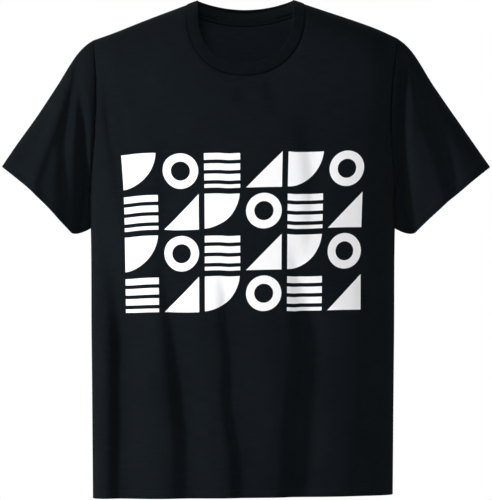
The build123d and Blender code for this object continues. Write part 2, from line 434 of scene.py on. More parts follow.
def new_sheet(name, points, cut, laid, seam, closed=False):
    """A mesh with a row of faces between each two rows of points. cut is the UV map in metres."""
    rows, columns = points.shape[:2]
    bpy.ops.object.select_all(action="DESELECT")
    bpy.ops.mesh.primitive_grid_add(x_subdivisions=columns - 1, y_subdivisions=rows - 1, size=2)
    piece = bpy.context.object
    piece.name = piece.data.name = name
    mesh = piece.data
    flat = np.empty(len(mesh.vertices) * 3)
    mesh.vertices.foreach_get("co", flat)
    flat = flat.reshape(-1, 3)
    column = np.rint((flat[:, 0] + 1) / 2 * (columns - 1)).astype(int)
    row = np.rint((1 - flat[:, 1]) / 2 * (rows - 1)).astype(int)
    mesh.vertices.foreach_set("co", points[row, column].ravel())
    corner = np.empty(len(mesh.loops), int)
    mesh.loops.foreach_get("vertex_index", corner)
    mesh.uv_layers[0].name = "cut"
    mesh.uv_layers[0].data.foreach_set("uv", cut[row, column][corner].ravel())
    laid_before = mesh.attributes.new("laid", "FLOAT_VECTOR", "POINT")
    laid_before.data.foreach_set("vector", laid[row, column].ravel())
    to_seam = mesh.attributes.new("seam", "FLOAT", "POINT")
    to_seam.data.foreach_set("value", seam[row, column].ravel())
    mesh.update()
    if closed:
        bpy.ops.object.mode_set(mode="EDIT")
        bpy.ops.mesh.select_all(action="SELECT")
        bpy.ops.mesh.remove_doubles(threshold=MERGE_DISTANCE)
        bpy.ops.object.mode_set(mode="OBJECT")
    return piece


def outwards(points, closed=False):
    """The direction that each point of a grid faces."""
    if closed:
        round_again = np.concatenate([points[:, -3:-1], points, points[:, 1:3]], axis=1)
        along = np.gradient(round_again, axis=1)[:, 2:-2]
    else:
        along = np.gradient(points, axis=1)
    return unit(np.cross(np.gradient(points, axis=0), along))


# %% [markdown]
# ## Cutting along a seam
#
# Scissors follow the seam, not the weave. A knife or a boolean would need a window or a solid, so
# the grid is cut between its points: each edge that crosses the seam is split just there, the new
# points are joined across their faces, and what lies outside is taken away. Dictionaries keep the
# new points and their faces in order, so that every run gives the same mesh.

# %% Scissors
def cut_away(piece, room):
    """Removes what lies where room is negative. room reads a point's place before the folds."""
    mesh = bmesh.new()
    mesh.from_mesh(piece.data)
    laid = mesh.verts.layers.float_vector["laid"]
    places = np.array([v[laid][:] for v in mesh.verts])
    value = dict(zip(mesh.verts, room(places[:, 0], -places[:, 2])))
    cut_points = {}
    for edge in [e for e in mesh.edges if value[e.verts[0]] * value[e.verts[1]] < 0]:
        first, second = edge.verts
        share = value[first] / (value[first] - value[second])
        point = bmesh.utils.edge_split(edge, first, share)[1]
        value[point] = 0
        cut_points[point] = share
    for face in dict.fromkeys(f for v in cut_points for f in v.link_faces):
        ends = [v for v in face.verts if v in cut_points]
        if len(ends) == 2:
            bmesh.utils.face_split(face, *ends)
    bmesh.ops.delete(mesh, geom=[v for v in mesh.verts if value[v] < 0], context="VERTS")
    mesh.to_mesh(piece.data)
    mesh.free()


# %% [markdown]
# ## A hem
#
# At the bottom the cloth is folded up inside and stitched, so the edge that shows is a fold and no
# raw end. Three rows go round the fold, and the hidden ply copies the cloth above it a little
# further in, so that it can't poke through. The height of each point above the fold, measured along
# the cloth, is kept for the stitches.

# %% Turning up a hem
HEM_PLY = 0.016
HEM_GAP = 0.0020
FOLD_TURNS = (0.8, 1.57, 2.35)


def turn_up(points, laid, seam, closed=False):
    """Adds the turned-up ply below the last row, and gives each point's height above the fold."""
    out = outwards(points, closed)
    down = unit(points[-1] - points[-2])
    count = len(points)
    fold = [points[-1] + (down * math.sin(turn) - out[-1] * (1 - math.cos(turn))) * HEM_GAP / 2
            for turn in FOLD_TURNS]
    step = np.linalg.norm(points[-1] - points[-2], axis=-1).mean()
    ply = (points - out * HEM_GAP)[::-1][:1 + round(HEM_PLY / step)]
    points = np.concatenate([points, fold, ply])
    length = distance_along(points)
    extra = len(points) - count
    laid = np.concatenate([laid, np.repeat(laid[-1:], extra, axis=0)])
    seam = np.concatenate([seam, np.repeat(seam[-1:], extra, axis=0)])
    return points, laid, seam, length[count] - length


# %% [markdown]
# ## The two body panels
#
# Each panel is one sheet from the shoulder seam to the hem. Below the armpits its rows are level
# round the body, as rows of knit are. Above them its columns climb straight up and over the
# shoulder, because level rows would bunch up where the shoulder slopes.

# %% Rows of a body panel
COLUMNS = 185
OVER_ROWS, YOKE_ROWS, LEVEL_ROWS = 26, 24, 190
LEVEL = 0.115


def body_rows(side):
    """Points of a whole panel before its folds, from the shoulder seam to the hem."""
    share = np.linspace(-1, 1, COLUMNS)
    sign = np.where(share < 0, 1.0, -1.0) * side
    x_level = along_oval(np.abs(share), *section(np.full(COLUMNS, LEVEL), side))[0]
    ridge = ridge_down(x_level)
    below = ridge + SHOULDER_HEIGHT
    rows = []
    for turn in np.linspace(math.pi / 2, 0, OVER_ROWS):
        over = SHOULDER_HEIGHT * (1 - math.sin(turn) ** (2 / SHOULDER_POWER))
        rows.append((x_level, ridge + over))
    for step in np.linspace(0, 1, YOKE_ROWS)[1:]:
        rows.append((x_level, below + (LEVEL - below) * step))
    points = [np.stack([sign * x, side * body_depth(x, down, side), -down], -1)
              for x, down in rows]
    for down in np.linspace(LEVEL, HEM_DOWN, LEVEL_ROWS)[1:]:
        x, y = along_oval(np.abs(share), *section(np.full(COLUMNS, down), side))
        points.append(np.stack([sign * x, side * y, np.full(COLUMNS, -down)], -1))
    return np.array(points), share


# %% [markdown]
# ## What a seam does to the cloth
#
# A seam holds the cloth, so folds die away towards it, and the stitches pull the cloth in beside
# it. Both need only the distance to the nearest seam. The pull is left out where the cloth faces
# sideways, since there it would open a gap between two panels.

# %% Close to the seams
HALF_CHEST = 0.2755
NECK_SCALE = {FRONT: 0.045, BACK: 0.0205}
SLOPE_SHARE = 0.94
NO_SHOULDER = 0.05
SEAM_HOLD = 0.022
BODY_DIP, DIP_WIDTH = 0.0013, 0.0028
DIP_FACING = (0.3, 0.8)


def seam_distance(x, down, share, side):
    """How far a point of the body lies from the nearest seam, in metres."""
    armhole = np.where(down < ARMPIT_DOWN, armhole_x(down) - np.abs(x), 1.0)
    neck = neck_room(x, down, side) * NECK_SCALE[side]
    shoulder = (down - ridge_down(x)) * SLOPE_SHARE
    shoulder = shoulder + np.where(np.abs(x) < NECK_HALF_WIDTH, NO_SHOULDER, 0)
    return np.minimum.reduce([armhole, neck, shoulder, (1 - np.abs(share)) * HALF_CHEST + 0 * x])


def seam_dip(seam, out, depth):
    """How far the stitches pull the cloth in."""
    return depth * np.exp(-(seam / DIP_WIDTH) ** 2) * fade(np.abs(out[..., 1]), *DIP_FACING)


# %% [markdown]
# ## Laying and cutting the panels
#
# The front and the back are laid by the same steps: rows, folds, hem, and then the scissors along
# the armholes and the neck. They differ in their folds and their neck line alone.

# %% Laying a body panel
def lay_panel(name, side, folds):
    laid, share = body_rows(side)
    x, down = laid[..., 0], -laid[..., 2]
    seam, out = seam_distance(x, down, share[None], side), outwards(laid)
    held = fade(seam, 0, SEAM_HOLD)
    sink = unevenness(x, -down, side) * held + seam_dip(seam, out, BODY_DIP)
    back = fold_depth(x, -down, folds) * held
    points = settle(laid - out * sink[..., None] + back[..., None] * [0, -side, 0])
    points, laid, seam, height = turn_up(points, laid, seam)
    cut = np.stack([np.broadcast_to(share * HALF_CHEST, height.shape), height], -1)
    piece = new_sheet(name, points, cut, laid, seam)
    cut_away(piece, lambda x, down: armhole_x(down) - np.abs(x))
    cut_away(piece, lambda x, down: neck_room(x, down, side))
    return piece


front = lay_panel("front_cloth", FRONT, FRONT_FOLDS)
back = lay_panel("back_cloth", BACK, BACK_FOLDS)
print("front panel", len(front.data.polygons), "faces, back panel", len(back.data.polygons))

# %% [markdown]
# ## Sleeves
#
# A sleeve is a tube that starts as the armhole, bent round the shoulder, and ends as a flat oval
# hem. Between them its section is an oval that tilts more and more. Rings of points run round it
# from the underarm seam, over the front, the top and the back, to the underarm seam again. The
# first ring lies on the body's own armhole, so that the two edges meet in one line.

# %% Half rings of a sleeve
SLEEVE = np.array([
    # share of the way, top x, top down, bottom x, bottom down, half depth, radius
    [0.00, 0.2285, 0.0522, 0.2290, 0.2860, 0.0560, 0.043],
    [0.08, 0.2404, 0.0596, 0.2319, 0.2870, 0.0590, 0.044],
    [0.40, 0.2832, 0.1223, 0.2370, 0.3090, 0.0580, 0.044],
    [0.70, 0.3246, 0.1822, 0.2405, 0.3305, 0.0555, 0.042],
    [1.00, 0.3660, 0.2420, 0.2445, 0.3535, 0.0540, 0.040],
])
AROUND = 65
ARMHOLE_STEPS = 800


def armhole_half(side):
    """Points on the body from the armpit up to the tip of the shoulder, where the panels meet."""
    down = np.linspace(ARMPIT_DOWN, float(ridge_down(SHOULDER_TIP)), ARMHOLE_STEPS)
    x = np.minimum(armhole_x(down), section(down, side)[0])
    points = np.stack([x, side * body_depth(x, down, side), -down], -1)
    points[0, 1] = points[-1, 1] = 0
    return even(points, AROUND)


def oval_half(row, side):
    """Half a ring of the sleeve, from its underarm to its top."""
    top, bottom = np.array([row[0], 0, -row[1]]), np.array([row[2], 0, -row[3]])
    along = (top - bottom) / 2
    half_length = np.linalg.norm(along)
    share = np.linspace(-1, 1, AROUND)
    a, b = along_oval(np.abs(share), half_length, row[4], row[5])
    a = np.sign(share) * a
    across = np.stack([0 * b, side * b, 0 * b], -1)
    return (top + bottom) / 2 + a[:, None] * along / half_length + across


def ring(halves):
    """One closed ring out of its front half and its back half."""
    return np.concatenate([halves[0], halves[1][::-1][1:]])


armhole_ring = ring([armhole_half(FRONT), armhole_half(BACK)])
print("an armhole is", round(float(distance_along(armhole_ring)[-1]), 3), "m round")

# %% [markdown]
# ## From armhole to hem
#
# The armhole's own shape fades out over the first third of the way. Under the arm the cloth sags
# back towards the body, and the hem bows a little, as the weight of its double cloth pulls it. Both
# shift the points of the rings, more and more along the way, so the rows of knit stay smooth.

# %% Rings of a sleeve
RING_WAYS = np.concatenate([np.linspace(0, 0.06, 5), np.linspace(0.06, 1, 72)[1:]])
ARMHOLE_REACH = 0.35
UNDERARM_X = 0.2270
UNDERARM_REACH = 0.018
UNDERARM_RISE = 0.019
SAG_WAYS, BOW_WAYS = (0, 0.12), (0.3, 1)
HEM_BOW = 0.0042
HEM_OPENING = 0.165


def sleeve_rings():
    """Rings of the left sleeve before its folds, from the armhole to the hem."""
    rows = flow(RING_WAYS, SLEEVE[:, 0], SLEEVE[:, 1:])
    rings = np.array([ring([oval_half(row, FRONT), oval_half(row, BACK)]) for row in rows])
    armhole_share = np.maximum(0, 1 - RING_WAYS / ARMHOLE_REACH)[:, None, None] ** 2
    bottom = rows[:, 2:4] * [1, -1]
    along = unit(rows[:, 0:2] * [1, -1] - bottom)
    above = ((rings[..., [0, 2]] - bottom[:, None]) * along[:, None]).sum(-1)
    under = (1 - np.clip(above / UNDERARM_REACH, 0, 1)) ** 2
    sag = under * fade(RING_WAYS, *SAG_WAYS)[:, None]
    to_body = np.stack([UNDERARM_X - bottom[:, 0], 0 * RING_WAYS, UNDERARM_RISE * RING_WAYS], -1)
    arch = np.clip(above * (HEM_OPENING - above) / (HEM_OPENING / 2) ** 2, 0, 1)
    bow = HEM_BOW * arch * fade(RING_WAYS, *BOW_WAYS)[:, None]
    back_up = np.stack([-along[:, 1], 0 * RING_WAYS, along[:, 0]], -1)
    rings = rings + (armhole_ring - rings[0]) * armhole_share
    return rings + sag[..., None] * to_body[:, None] + bow[..., None] * back_up[:, None]


# %% [markdown]
# ## Laying the sleeves
#
# The right sleeve is the left one mirrored, with creases of its own. The creases sink straight back
# in front, come forward behind, and fade out where the sleeve faces sideways, so that its outline
# stays. A narrow strip ahead of the first ring is the seam allowance, tucked in under the panels.

# %% Laying a sleeve
CREASE_HOLD, SLEEVE_HOLD = 0.010, 0.020
SLEEVE_DIP = 0.0014
BEHIND_SHARE = -0.7
CREASE_FACING, CREASE_DEPTH = (0.1, 0.6), (0.008, 0.036)
ALLOWANCE, ALLOWANCE_TUCK = 0.005, 0.0012
GIRTH_ROW = 20


def crease_sleeve(points, out, seam, folds):
    """The sleeve's points after its creases, as it hangs."""
    x, z = points[..., 0], points[..., 2]
    share = np.where(out[..., 1] < 0, 1.0, BEHIND_SHARE)
    share = share * fade(np.abs(out[..., 1]), *CREASE_FACING)
    share = share * fade(np.abs(points[..., 1]), *CREASE_DEPTH)
    back = fold_depth(x, z, folds) * share * fade(seam, 0, CREASE_HOLD)
    sink = unevenness(x, z, 2) * fade(seam, 0, SLEEVE_HOLD) + seam_dip(seam, out, SLEEVE_DIP)
    return settle(points - out * sink[..., None] + back[..., None] * [0, 1, 0])


def lay_sleeve(name, folds, mirrored):
    points = sleeve_rings()
    seam = distance_along(points)
    if mirrored:
        points, seam = points[:, ::-1] * [-1, 1, 1], seam[:, ::-1]
    laid, out = points, outwards(points, True)
    points = crease_sleeve(points, out, seam, folds)
    tuck = unit(points[:1] - points[1:2]) * ALLOWANCE - out[:1] * ALLOWANCE_TUCK
    points = np.concatenate([points[:1] + tuck, points])
    points[:, -1] = points[:, 0]
    laid = np.concatenate([laid[:1], laid])
    seam = np.concatenate([seam[:1] - ALLOWANCE, seam])
    points, laid, seam, height = turn_up(points, laid, seam, True)
    points[:, -1] = points[:, 0]
    girth = distance_along(points[GIRTH_ROW])
    cut = np.stack([np.broadcast_to(girth - girth[-1] / 2, height.shape), height], -1)
    return new_sheet(name, points, cut, laid, seam, closed=True)


sleeve_left = lay_sleeve("sleeve_left_cloth", LEFT_SLEEVE_FOLDS, False)
sleeve_right = lay_sleeve("sleeve_right_cloth", RIGHT_SLEEVE_FOLDS, True)
print("each sleeve", len(sleeve_left.data.polygons), "faces")

# %% [markdown]
# ## The neck band
#
# The band is a strip of rib knit, folded in half lengthwise. The fold is the edge round the throat
# and both raw ends are caught in the neck seam. It could be two rings, but then its edge would be
# open. So it is one sheet: from the seam up to the fold on the outside, over the fold, and back
# down to the seam inside.

# %% The band's lines and profile
RIB_WIDTH = 0.017
BAND_POINTS = 121
FRONT_MIDDLE = 60
RIB_PROFILE = np.array([
    # share of the way from the seam to the fold, height above the panel in millimetres
    [-0.22, -1.3], [-0.10, -1.1], [-0.02, -0.7], [0.02, 0.2], [0.08, 0.75], [0.18, 1.0],
    [0.32, 1.1], [0.50, 1.1], [0.68, 1.1], [0.84, 1.0], [0.94, 0.8], [0.985, 0.35],
    [1.0, -0.3], [0.985, -0.95], [0.94, -1.35], [0.84, -1.5], [0.68, -1.6], [0.50, -1.6],
    [0.32, -1.6], [0.18, -1.6], [0.06, -1.7], [-0.08, -1.9], [-0.20, -2.1],
])


def smooth_round(values, times):
    """Evens out a closed ring's values, whose last is its first."""
    for _ in range(times):
        inside = values[:-1]
        inside = (np.roll(inside, 1, axis=0) + inside * 2 + np.roll(inside, -1, axis=0)) / 4
        values = np.concatenate([inside, inside[:1]])
    return values


def band_line(line):
    """A closed line round the neck, from the right shoulder over the front and back to it."""
    back_half = neck_half(line, BACK, BAND_POINTS)[::-1][1:]
    return smooth_round(np.concatenate([neck_half(line, FRONT, BAND_POINTS), back_half]), 6)


# %% [markdown]
# ## Laying the neck band
#
# At each point of the seam the band needs two directions: across it to the fold, and off the body.
# The profile is then drawn once for every point of the seam. The ribs stand up from the seam, so
# the cut cloth is measured along the seam one way and up the profile the other.

# %% Laying the neck band
def lay_band(name):
    seam_line, fold_line = band_line(NECK_SEAM), band_line(BAND_FOLD)
    across = fold_line - seam_line
    round_again = np.concatenate([seam_line[-3:-1], seam_line, seam_line[1:3]])
    around = np.gradient(round_again, axis=0)[2:-2]
    off = unit(smooth_round(unit(np.cross(around, across)), 4))
    off = off if off[FRONT_MIDDLE, 1] < 0 else -off
    rows = [seam_line + across * share + off * height * MILLIMETRE for share, height in RIB_PROFILE]
    band = settle(np.array(rows))
    girth, height = distance_along(seam_line), distance_along(band)
    if outwards(band, True)[8, FRONT_MIDDLE, 1] > 0:
        band, girth, height = band[:, ::-1], girth[::-1], height[:, ::-1]
    cut = np.stack([np.broadcast_to(girth, height.shape), height], -1)
    seam = np.abs(RIB_PROFILE[:, :1]) * RIB_WIDTH + 0 * height
    print("neck band", round(float(girth.max()), 3), "m round at its seam")
    return new_sheet(name, band, cut, band, seam, closed=True)


neck_band = lay_band("neck_rib_cloth")

# %% [markdown]
# ## The neck tape
#
# Inside the back of the neck a narrow tape covers the seam. It lies on the inner face of the back
# panel, follows the curve of the neck seam, and is stitched down along both of its edges. It is a
# strip of its own rather than a painted line, because its edge catches the light.

# %% Laying the neck tape
TAPE_WIDTH = 0.0095
TAPE_GAP = 0.0022
TAPE_TOP = 0.0005
TAPE_LENGTH = 0.19
TAPE_ROWS, TAPE_COLUMNS = 6, 121
BELOW_RIDGE = 0.004
FAR_FROM_SEAM = 0.02


def tape_line(drop):
    """The neck seam at the back, a little lower down, from one shoulder to the other."""
    half_width, back_drop = NECK_SEAM[0], NECK_SEAM[-1]
    x = np.linspace(-half_width, half_width, FINE_STEPS)
    start = float(ridge_down(half_width))
    down = start + (back_drop - start) * (1 - (x / half_width) ** 2) + drop
    down = np.maximum(down, ridge_down(x) + BELOW_RIDGE)
    y = body_depth(x, down, BACK) - TAPE_GAP
    return even(np.stack([x, y, -down], -1), TAPE_COLUMNS)


drops = np.linspace(TAPE_TOP, TAPE_TOP + TAPE_WIDTH, TAPE_ROWS)
tape_rows = settle(np.array([tape_line(drop) for drop in drops]))
tape_u = np.linspace(0, TAPE_LENGTH, TAPE_COLUMNS)[None]
tape_v = np.linspace(TAPE_WIDTH, 0, TAPE_ROWS)[:, None]
tape_cut = np.stack(np.broadcast_arrays(tape_u, tape_v), -1)
no_seam = np.full((TAPE_ROWS, TAPE_COLUMNS), FAR_FROM_SEAM)
neck_tape = new_sheet("neck_tape_cloth", tape_rows, tape_cut, tape_rows, no_seam)
print("neck tape", len(neck_tape.data.polygons), "faces")

# %% [markdown]
# ## Thickness
#
# A sheet with no thickness has no edge to catch the light, and can't be made. Solidify gives each
# sheet the thickness of its knit, towards the inside, and is applied. It can also give the reverse
# a material of its own, paler than the face: partly as the back of a jersey is, and partly as
# painted light for the inside of the shirt.

# %% Giving the cloth its thickness
CLOTH_THICKNESS = 0.0008
TAPE_THICKNESS = 0.0005


def finish_cloth(piece, thickness, face, reverse=None):
    """Adds the thickness, and the materials of the outer face and of the reverse."""
    piece.data.materials.append(face)
    if reverse:
        piece.data.materials.append(reverse)
    bpy.ops.object.select_all(action="DESELECT")
    piece.select_set(True)
    bpy.context.view_layer.objects.active = piece
    modifier = piece.modifiers.new("thickness", "SOLIDIFY")
    modifier.thickness = thickness
    modifier.offset = -1
    modifier.material_offset = 1 if reverse else 0
    bpy.ops.object.modifier_apply(modifier="thickness")
    bpy.ops.object.shade_smooth()


# %% [markdown]
# ## Writing a material as sums
#
# A material is a graph of nodes, but its patterns are easier to read as sums. This class wraps a
# socket, so that a * b + 1 adds the Math nodes itself. Every other node comes from one function,
# which takes the node's kind, its settings, and the values or links of its sockets.

# %% Sockets with operators
class Wire:
    def __init__(self, tree, socket):
        self.tree, self.socket = tree, socket

    def math(self, operation, *others):
        return node(self.tree, "ShaderNodeMath", {"operation": operation}, [self, *others])

    def __add__(self, other): return self.math("ADD", other)
    def __sub__(self, other): return self.math("SUBTRACT", other)
    def __mul__(self, other): return self.math("MULTIPLY", other)
    def __truediv__(self, other): return self.math("DIVIDE", other)
    def __lt__(self, other): return self.math("LESS_THAN", other)
    def __gt__(self, other): return self.math("GREATER_THAN", other)

    def __rsub__(self, other):
        return node(self.tree, "ShaderNodeMath", {"operation": "SUBTRACT"}, [other, self])

    __radd__ = __add__
    __rmul__ = __mul__

    def step(self, start, end):
        """0 before start and 1 after end."""
        ends = {"Value": self, "From Min": start, "From Max": end}
        return node(self.tree, "ShaderNodeMapRange", {}, ends)

    def near(self, place, width):
        """1 at a place, and 0 further from it than a width."""
        return 1 - ((self - place).math("ABSOLUTE") / width).math("MINIMUM", 1)

    def wave(self, pitch):
        """Ripples between -1 and 1 that repeat after each pitch."""
        return (self * (2 * math.pi / pitch)).math("SINE")


def node(tree, kind, settings, inputs, output=0):
    """A node of a kind, with its settings and its sockets' values or links, as a Wire."""
    made = tree.nodes.new(kind)
    for name, value in settings.items():
        setattr(made, name, value)
    for name, value in (inputs.items() if isinstance(inputs, dict) else enumerate(inputs)):
        if isinstance(value, Wire):
            tree.links.new(value.socket, made.inputs[name])
        else:
            made.inputs[name].default_value = value
    return Wire(tree, made.outputs[output])


def mix(tree, factor, first, second):
    """A colour between two colours, by the Mix node's sockets for colours."""
    return node(tree, "ShaderNodeMix", {"data_type": "RGBA"}, {0: factor, 6: first, 7: second}, 2)


# %% [markdown]
# ## What all the cloths share
#
# Cotton is dull: rough, with no shine and a breath of sheen from its loose fibres. The knit follows
# the cloth and not the room, so every pattern reads the UV map in metres, and each material ends in
# a colour and a height, from which Bump takes the relief.

# %% A cotton material
ROUGHNESS, SHEEN, SHEEN_ROUGHNESS = 0.95, 0.02, 0.5
STITCH_PITCH, STITCH_HALF, STITCH_WIDTH = 0.0032, 0.36, 0.0011


def cotton(name):
    """A new dull material, with the cloth's UV map and its two lengths."""
    material = bpy.data.materials.new(name)
    material.use_nodes = True
    tree = material.node_tree
    shader = tree.nodes["Principled BSDF"]
    shader.inputs["Roughness"].default_value = ROUGHNESS
    shader.inputs["Specular IOR Level"].default_value = 0.0
    shader.inputs["Sheen Weight"].default_value = SHEEN
    shader.inputs["Sheen Roughness"].default_value = SHEEN_ROUGHNESS
    place = node(tree, "ShaderNodeUVMap", {"uv_map": "cut"}, {})
    u = node(tree, "ShaderNodeSeparateXYZ", {}, [place])
    return material, tree, place, u, Wire(tree, u.socket.node.outputs[1])


def give_finish(material, colour, height):
    """Gives a material its colour, and the relief of a height in metres."""
    tree = material.node_tree
    shader = tree.nodes["Principled BSDF"]
    relief = {"Height": height, "Strength": 1.0, "Distance": 1.0}
    tree.links.new(colour.socket, shader.inputs["Base Color"])
    tree.links.new(node(tree, "ShaderNodeBump", {}, relief).socket, shader.inputs["Normal"])
    return material


def to_seam(tree):
    """The distance to the nearest seam, which each point of the cloth carries."""
    return node(tree, "ShaderNodeAttribute", {"attribute_name": "seam"}, {}, 2)


def noise(tree, place, scale, detail, stretch=(1, 1, 1)):
    moved = node(tree, "ShaderNodeVectorMath", {"operation": "MULTIPLY"}, [place, stretch])
    return node(tree, "ShaderNodeTexNoise", {}, {"Vector": moved, "Scale": scale, "Detail": detail})


def stitches(along, height, lines):
    """Rows of stitches at some heights above a hem: 1 on the thread and 0 between the stitches."""
    dash = ((along / STITCH_PITCH).math("FRACT") - 0.5).math("ABSOLUTE") < STITCH_HALF
    rows = [height.near(line, STITCH_WIDTH) * dash for line in lines]
    return rows[0] + rows[1]


# %% [markdown]
# ## Black jersey
#
# The knit has fine upright ribs of loops and its yarn is never quite even, which shows as short
# streaks along the rows. Seams pull the cloth in beside them, and a painted shade draws each one as
# a dark line. The hems have two rows of stitches. The blacks are written a little blue, as dyed
# cotton is. The reverse is the same cloth made paler: partly as the reverse of a jersey is, and
# partly as painted light for the inside of the shirt, where little lamp light reaches.

# %% Jersey
BLACK_DEEP = (0.0032, 0.0047, 0.0061, 1)
BLACK_PALE = (0.0088, 0.0119, 0.0148, 1)
SEAM_SHADE = (0.0012, 0.0018, 0.0024, 1)
THREAD = (0.0100, 0.0133, 0.0160, 1)
WHITE = (0.92, 0.92, 0.93, 1)
WALE, COURSE = 0.0011, 0.0008
WALE_RELIEF, COURSE_RELIEF, STREAK_RELIEF, STITCH_RELIEF = 0.00003, 0.00002, 0.0002, 0.0003
GROOVE_WIDTH = 0.0022


def jersey(name, hem_lines, printed=False, paler_reverse_and_painted_light=1.0):
    material, tree, place, u, v = cotton(name)
    streaks = noise(tree, place, 40, 4, (1, 14, 1))
    clouds = noise(tree, place, 9, 2)
    tone = (streaks - 0.5) * 0.9 + (clouds - 0.5) * 0.5 + 0.5
    # painted light: the reverse's blacks are scaled up, partly as a jersey's reverse is paler and
    # partly for the shade inside the shirt
    dark, pale = ([c * paler_reverse_and_painted_light for c in black[:3]] + [1] for black in (BLACK_DEEP, BLACK_PALE))
    thread = stitches(u, v, hem_lines)
    colour = mix(tree, tone, dark, pale)
    # painted shade: a dark line along each seam, where the cloth dips in
    colour = mix(tree, to_seam(tree).near(0, GROOVE_WIDTH) * 0.6, colour, SEAM_SHADE)
    colour = mix(tree, thread * 0.6, colour, THREAD)
    if printed:
        colour = mix(tree, print_mask(u, v), colour, WHITE)
    height = u.wave(WALE) * WALE_RELIEF + v.wave(COURSE) * COURSE_RELIEF
    height = height + streaks * STREAK_RELIEF + thread * STITCH_RELIEF
    for line in hem_lines:
        height = height - v.near(line, GROOVE_WIDTH) * STITCH_RELIEF
    return give_finish(material, colour, height)


# %% [markdown]
# ## The print
#
# The chest carries a white print. Its motifs are plain ones, drawn with sums on the cloth's own
# map: a block of tiles, each with a quarter disc, a ring, a triangle or a few bars. A picture file
# would blur close up, and sums stay sharp at any distance.

# %% Print
PRINT_LEFT, PRINT_TOP = -0.184, 0.520
TILE = 0.0615
PRINT_COLUMNS, PRINT_ROWS = 6, 4
MARGIN = 0.07
QUARTER, RING_OUTER, RING_INNER = 0.92, 0.43, 0.23
BARS, BAR_GAP = 4, 0.36


def print_mask(u, v):
    """1 where the print is."""
    across, down = (u - PRINT_LEFT) / TILE, (PRINT_TOP - v) / TILE
    column, row = across.math("FLOOR"), down.math("FLOOR")
    x, y = across - column, down - row
    inside = (across > 0) * (across < PRINT_COLUMNS) * (down > 0) * (down < PRINT_ROWS)
    kind = (column + row * 2).math("FLOORED_MODULO", 4)
    from_middle = ((x - 0.5) * (x - 0.5) + (y - 0.5) * (y - 0.5)).math("SQRT")
    from_corner = (x * x + y * y).math("SQRT")
    margin = (x > MARGIN) * (x < 1 - MARGIN) * (y > MARGIN) * (y < 1 - MARGIN)
    quarter = (from_corner < QUARTER) * margin
    round_ring = (from_middle < RING_OUTER) * (from_middle > RING_INNER)
    bars = ((y * BARS).math("FRACT") > BAR_GAP) * margin
    triangle = (x + y > 1.0) * margin
    total = None
    for number, shape in enumerate([quarter, round_ring, bars, triangle]):
        part = ((kind - number).math("ABSOLUTE") < 0.5) * shape
        total = part if total is None else total + part
    return total * inside


# %% [markdown]
# ## The jersey of each piece
#
# One function makes all four jerseys, because a shirt is cut from one cloth. They differ only in
# what is sewn or printed on them, and in which face of the cloth is seen.

# %% Jerseys
BODY_HEM_LINES, SLEEVE_HEM_LINES = (0.0075, 0.0115), (0.0120, 0.0160)

body_front_jersey = jersey("black_jersey_front", BODY_HEM_LINES, printed=True)
body_jersey = jersey("black_jersey", BODY_HEM_LINES)
sleeve_jersey = jersey("black_jersey_sleeve", SLEEVE_HEM_LINES)
# painted light: the reverse is 2.3 times paler, partly its own tone and partly to light the shaded
# inside
reverse_jersey_painted_light = jersey("black_jersey_reverse_painted_light", BODY_HEM_LINES, paler_reverse_and_painted_light=2.3)
print("the print is", PRINT_COLUMNS * TILE, "m wide and", PRINT_ROWS * TILE, "m high")

# %% [markdown]
# ## Rib knit
#
# The band's ribs stand up from its seam to its fold, about a millimetre apart, so it looks a little
# duller and darker than the jersey. Its inner ply starts just behind the fold and is written paler:
# partly as the reverse of the knit is, and partly as painted light for the shade inside the neck.
# Its seam has a painted shade along it, as a dark line.

# %% Rib
RIB_DARK = (0.0034, 0.0049, 0.0062, 1)
RIB_LIGHT = (0.0062, 0.0085, 0.0106, 1)
RIB_REVERSE_AND_PAINTED_LIGHT = (0.0175, 0.0236, 0.0285, 1)
RIB_SEAM_SHADE = (0.0010, 0.0014, 0.0018, 1)
RIB_PITCH, RIB_RELIEF, FUZZ_RELIEF = 0.0016, 0.00012, 0.0001
INNER_PLY = (0.0255, 0.029)
RIB_SEAM_SHADE_WIDTH = 0.0020


def rib(name):
    material, tree, place, u, v = cotton(name)
    clouds = noise(tree, place, 60, 3)
    ribs = u.wave(RIB_PITCH)
    colour = mix(tree, clouds, RIB_DARK, RIB_LIGHT)
    # painted light: the inner ply is paler, partly as the knit's reverse and partly against the
    # shade inside the neck
    colour = mix(tree, v.step(*INNER_PLY) * 0.8, colour, RIB_REVERSE_AND_PAINTED_LIGHT)
    colour = mix(tree, ribs * 0.15 + 0.15, colour, BLACK_DEEP)
    # painted shade: a dark line along the band's seam
    colour = mix(tree, to_seam(tree).near(0, RIB_SEAM_SHADE_WIDTH) * 0.65, colour, RIB_SEAM_SHADE)
    return give_finish(material, colour, ribs * RIB_RELIEF + clouds * FUZZ_RELIEF)


# %% [markdown]
# ## Tape
#
# The tape is a strip of the shirt's own cloth, cut on the slant, so its fine lines run across it at
# an angle. Adding the two lengths of the map before the ripples turns them by that angle. A row of
# stitches runs along each edge. Its blacks and its thread are written paler than the jersey's, as
# painted light for the shade inside the neck.

# %% Tape
TAPE_DARK_PAINTED_LIGHT = (0.0090, 0.0122, 0.0150, 1)
TAPE_PALE_PAINTED_LIGHT = (0.0125, 0.0168, 0.0205, 1)
TAPE_THREAD_PAINTED_LIGHT = (0.0170, 0.0225, 0.0270, 1)
SLANT_PITCH, SLANT_RELIEF, TAPE_STITCH_RELIEF = 0.0013, 0.00005, 0.0002
STITCH_INSET = 0.0012


